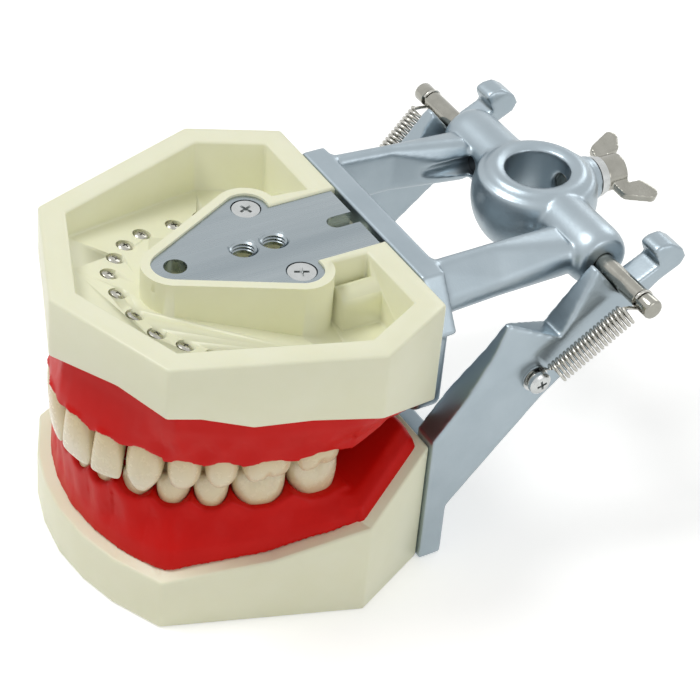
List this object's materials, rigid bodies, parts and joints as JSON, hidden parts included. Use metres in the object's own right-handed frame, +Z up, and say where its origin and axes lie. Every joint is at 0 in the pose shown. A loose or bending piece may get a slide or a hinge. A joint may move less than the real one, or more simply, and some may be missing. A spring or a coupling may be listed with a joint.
{
  "type": "dental articulator",
  "caption": "Hinged dental articulator with upper and lower typodont jaws on cast frames, sprung condyle pins and a ball clamp for a mounting pole.",
  "frame": {"origin": "on the foot plane of the lower base, below the middle of the bounding box", "axes": "+X to the patient's left, -Y to the front teeth, +Z up"},
  "size_m": [0.0826, 0.1294, 0.062],
  "materials": {
    "base_plastic": "satin moulded plastic",
    "gum": "soft satin silicone gum",
    "tooth": "glazed tooth enamel",
    "cast_frame": "satin silver coating on die-cast metal",
    "steel_plate": "bright ground steel",
    "zinc_screw": "bright zinc plate",
    "tooth_screw": "bright steel",
    "nickel": "polished nickel plate",
    "spring_wire": "bright spring steel wire",
    "dark_steel": "blackened steel"
  },
  "bodies": {
    "lower_jaw": {"lower_base": "base_plastic", "lower_gum": "gum", "lower_right_central": "tooth", "lower_right_lateral": "tooth", "lower_right_canine": "tooth", "lower_right_premolar_1": "tooth", "lower_right_premolar_2": "tooth", "lower_right_molar_1": "tooth", "lower_right_molar_2": "tooth", "lower_left_central": "tooth", "lower_left_lateral": "tooth", "lower_left_canine": "tooth", "lower_left_premolar_1": "tooth", "lower_left_premolar_2": "tooth", "lower_left_molar_1": "tooth", "lower_left_molar_2": "tooth", "lower_plate": "steel_plate", "lower_plate_screws": "zinc_screw", "lower_tooth_screws": "tooth_screw", "lower_frame": "cast_frame", "lower_frame_screws": "zinc_screw", "spring_screws": "zinc_screw", "spring_washers": "zinc_screw"},
    "spring_pair": {"spring_right": "spring_wire", "spring_left": "spring_wire"},
    "upper_jaw": {"upper_base": "base_plastic", "upper_gum": "gum", "upper_right_central": "tooth", "upper_right_lateral": "tooth", "upper_right_canine": "tooth", "upper_right_premolar_1": "tooth", "upper_right_premolar_2": "tooth", "upper_right_molar_1": "tooth", "upper_right_molar_2": "tooth", "upper_left_central": "tooth", "upper_left_lateral": "tooth", "upper_left_canine": "tooth", "upper_left_premolar_1": "tooth", "upper_left_premolar_2": "tooth", "upper_left_molar_1": "tooth", "upper_left_molar_2": "tooth", "upper_plate": "steel_plate", "upper_plate_screws": "zinc_screw", "upper_tooth_screws": "tooth_screw", "upper_frame": "cast_frame", "upper_frame_screws": "zinc_screw", "condyle_pin_right": "nickel", "condyle_pin_left": "nickel", "pin_set_screws": "dark_steel"},
    "clamp_washers": {"wing_washers": "zinc_screw"},
    "clamp_screw": {"wing_screw": "nickel"}
  },
  "joints": [
    {"name": "protrusion", "type": "slide", "parent": "lower_jaw", "child": "spring_pair", "axis": [0, 0.891, 0.454], "range_m": [0, 0.0055], "stiffness_N_per_m": 400, "springref_m": -0.004, "deforming": ["spring_right", "spring_left"]},
    {"name": "jaw_opening", "type": "hinge", "parent": "spring_pair", "child": "upper_jaw", "pos_m": [0, 0.03932, 0.0549], "axis": [-1, 0, 0], "range_deg": [0, 40]},
    {"name": "clamp_travel", "type": "slide", "parent": "upper_jaw", "child": "clamp_washers", "axis": [0, 1, 0], "range_m": [0, 0.004]},
    {"name": "wing_turn", "type": "hinge", "parent": "clamp_washers", "child": "clamp_screw", "pos_m": [0, 0.05568, 0.0549], "axis": [0, -1, 0], "range_deg": [0, 1440]}
  ],
  "couplings": [
    {"joint": "wing_turn", "follows": "clamp_travel", "rad_per_m": 6283.2}
  ]
}
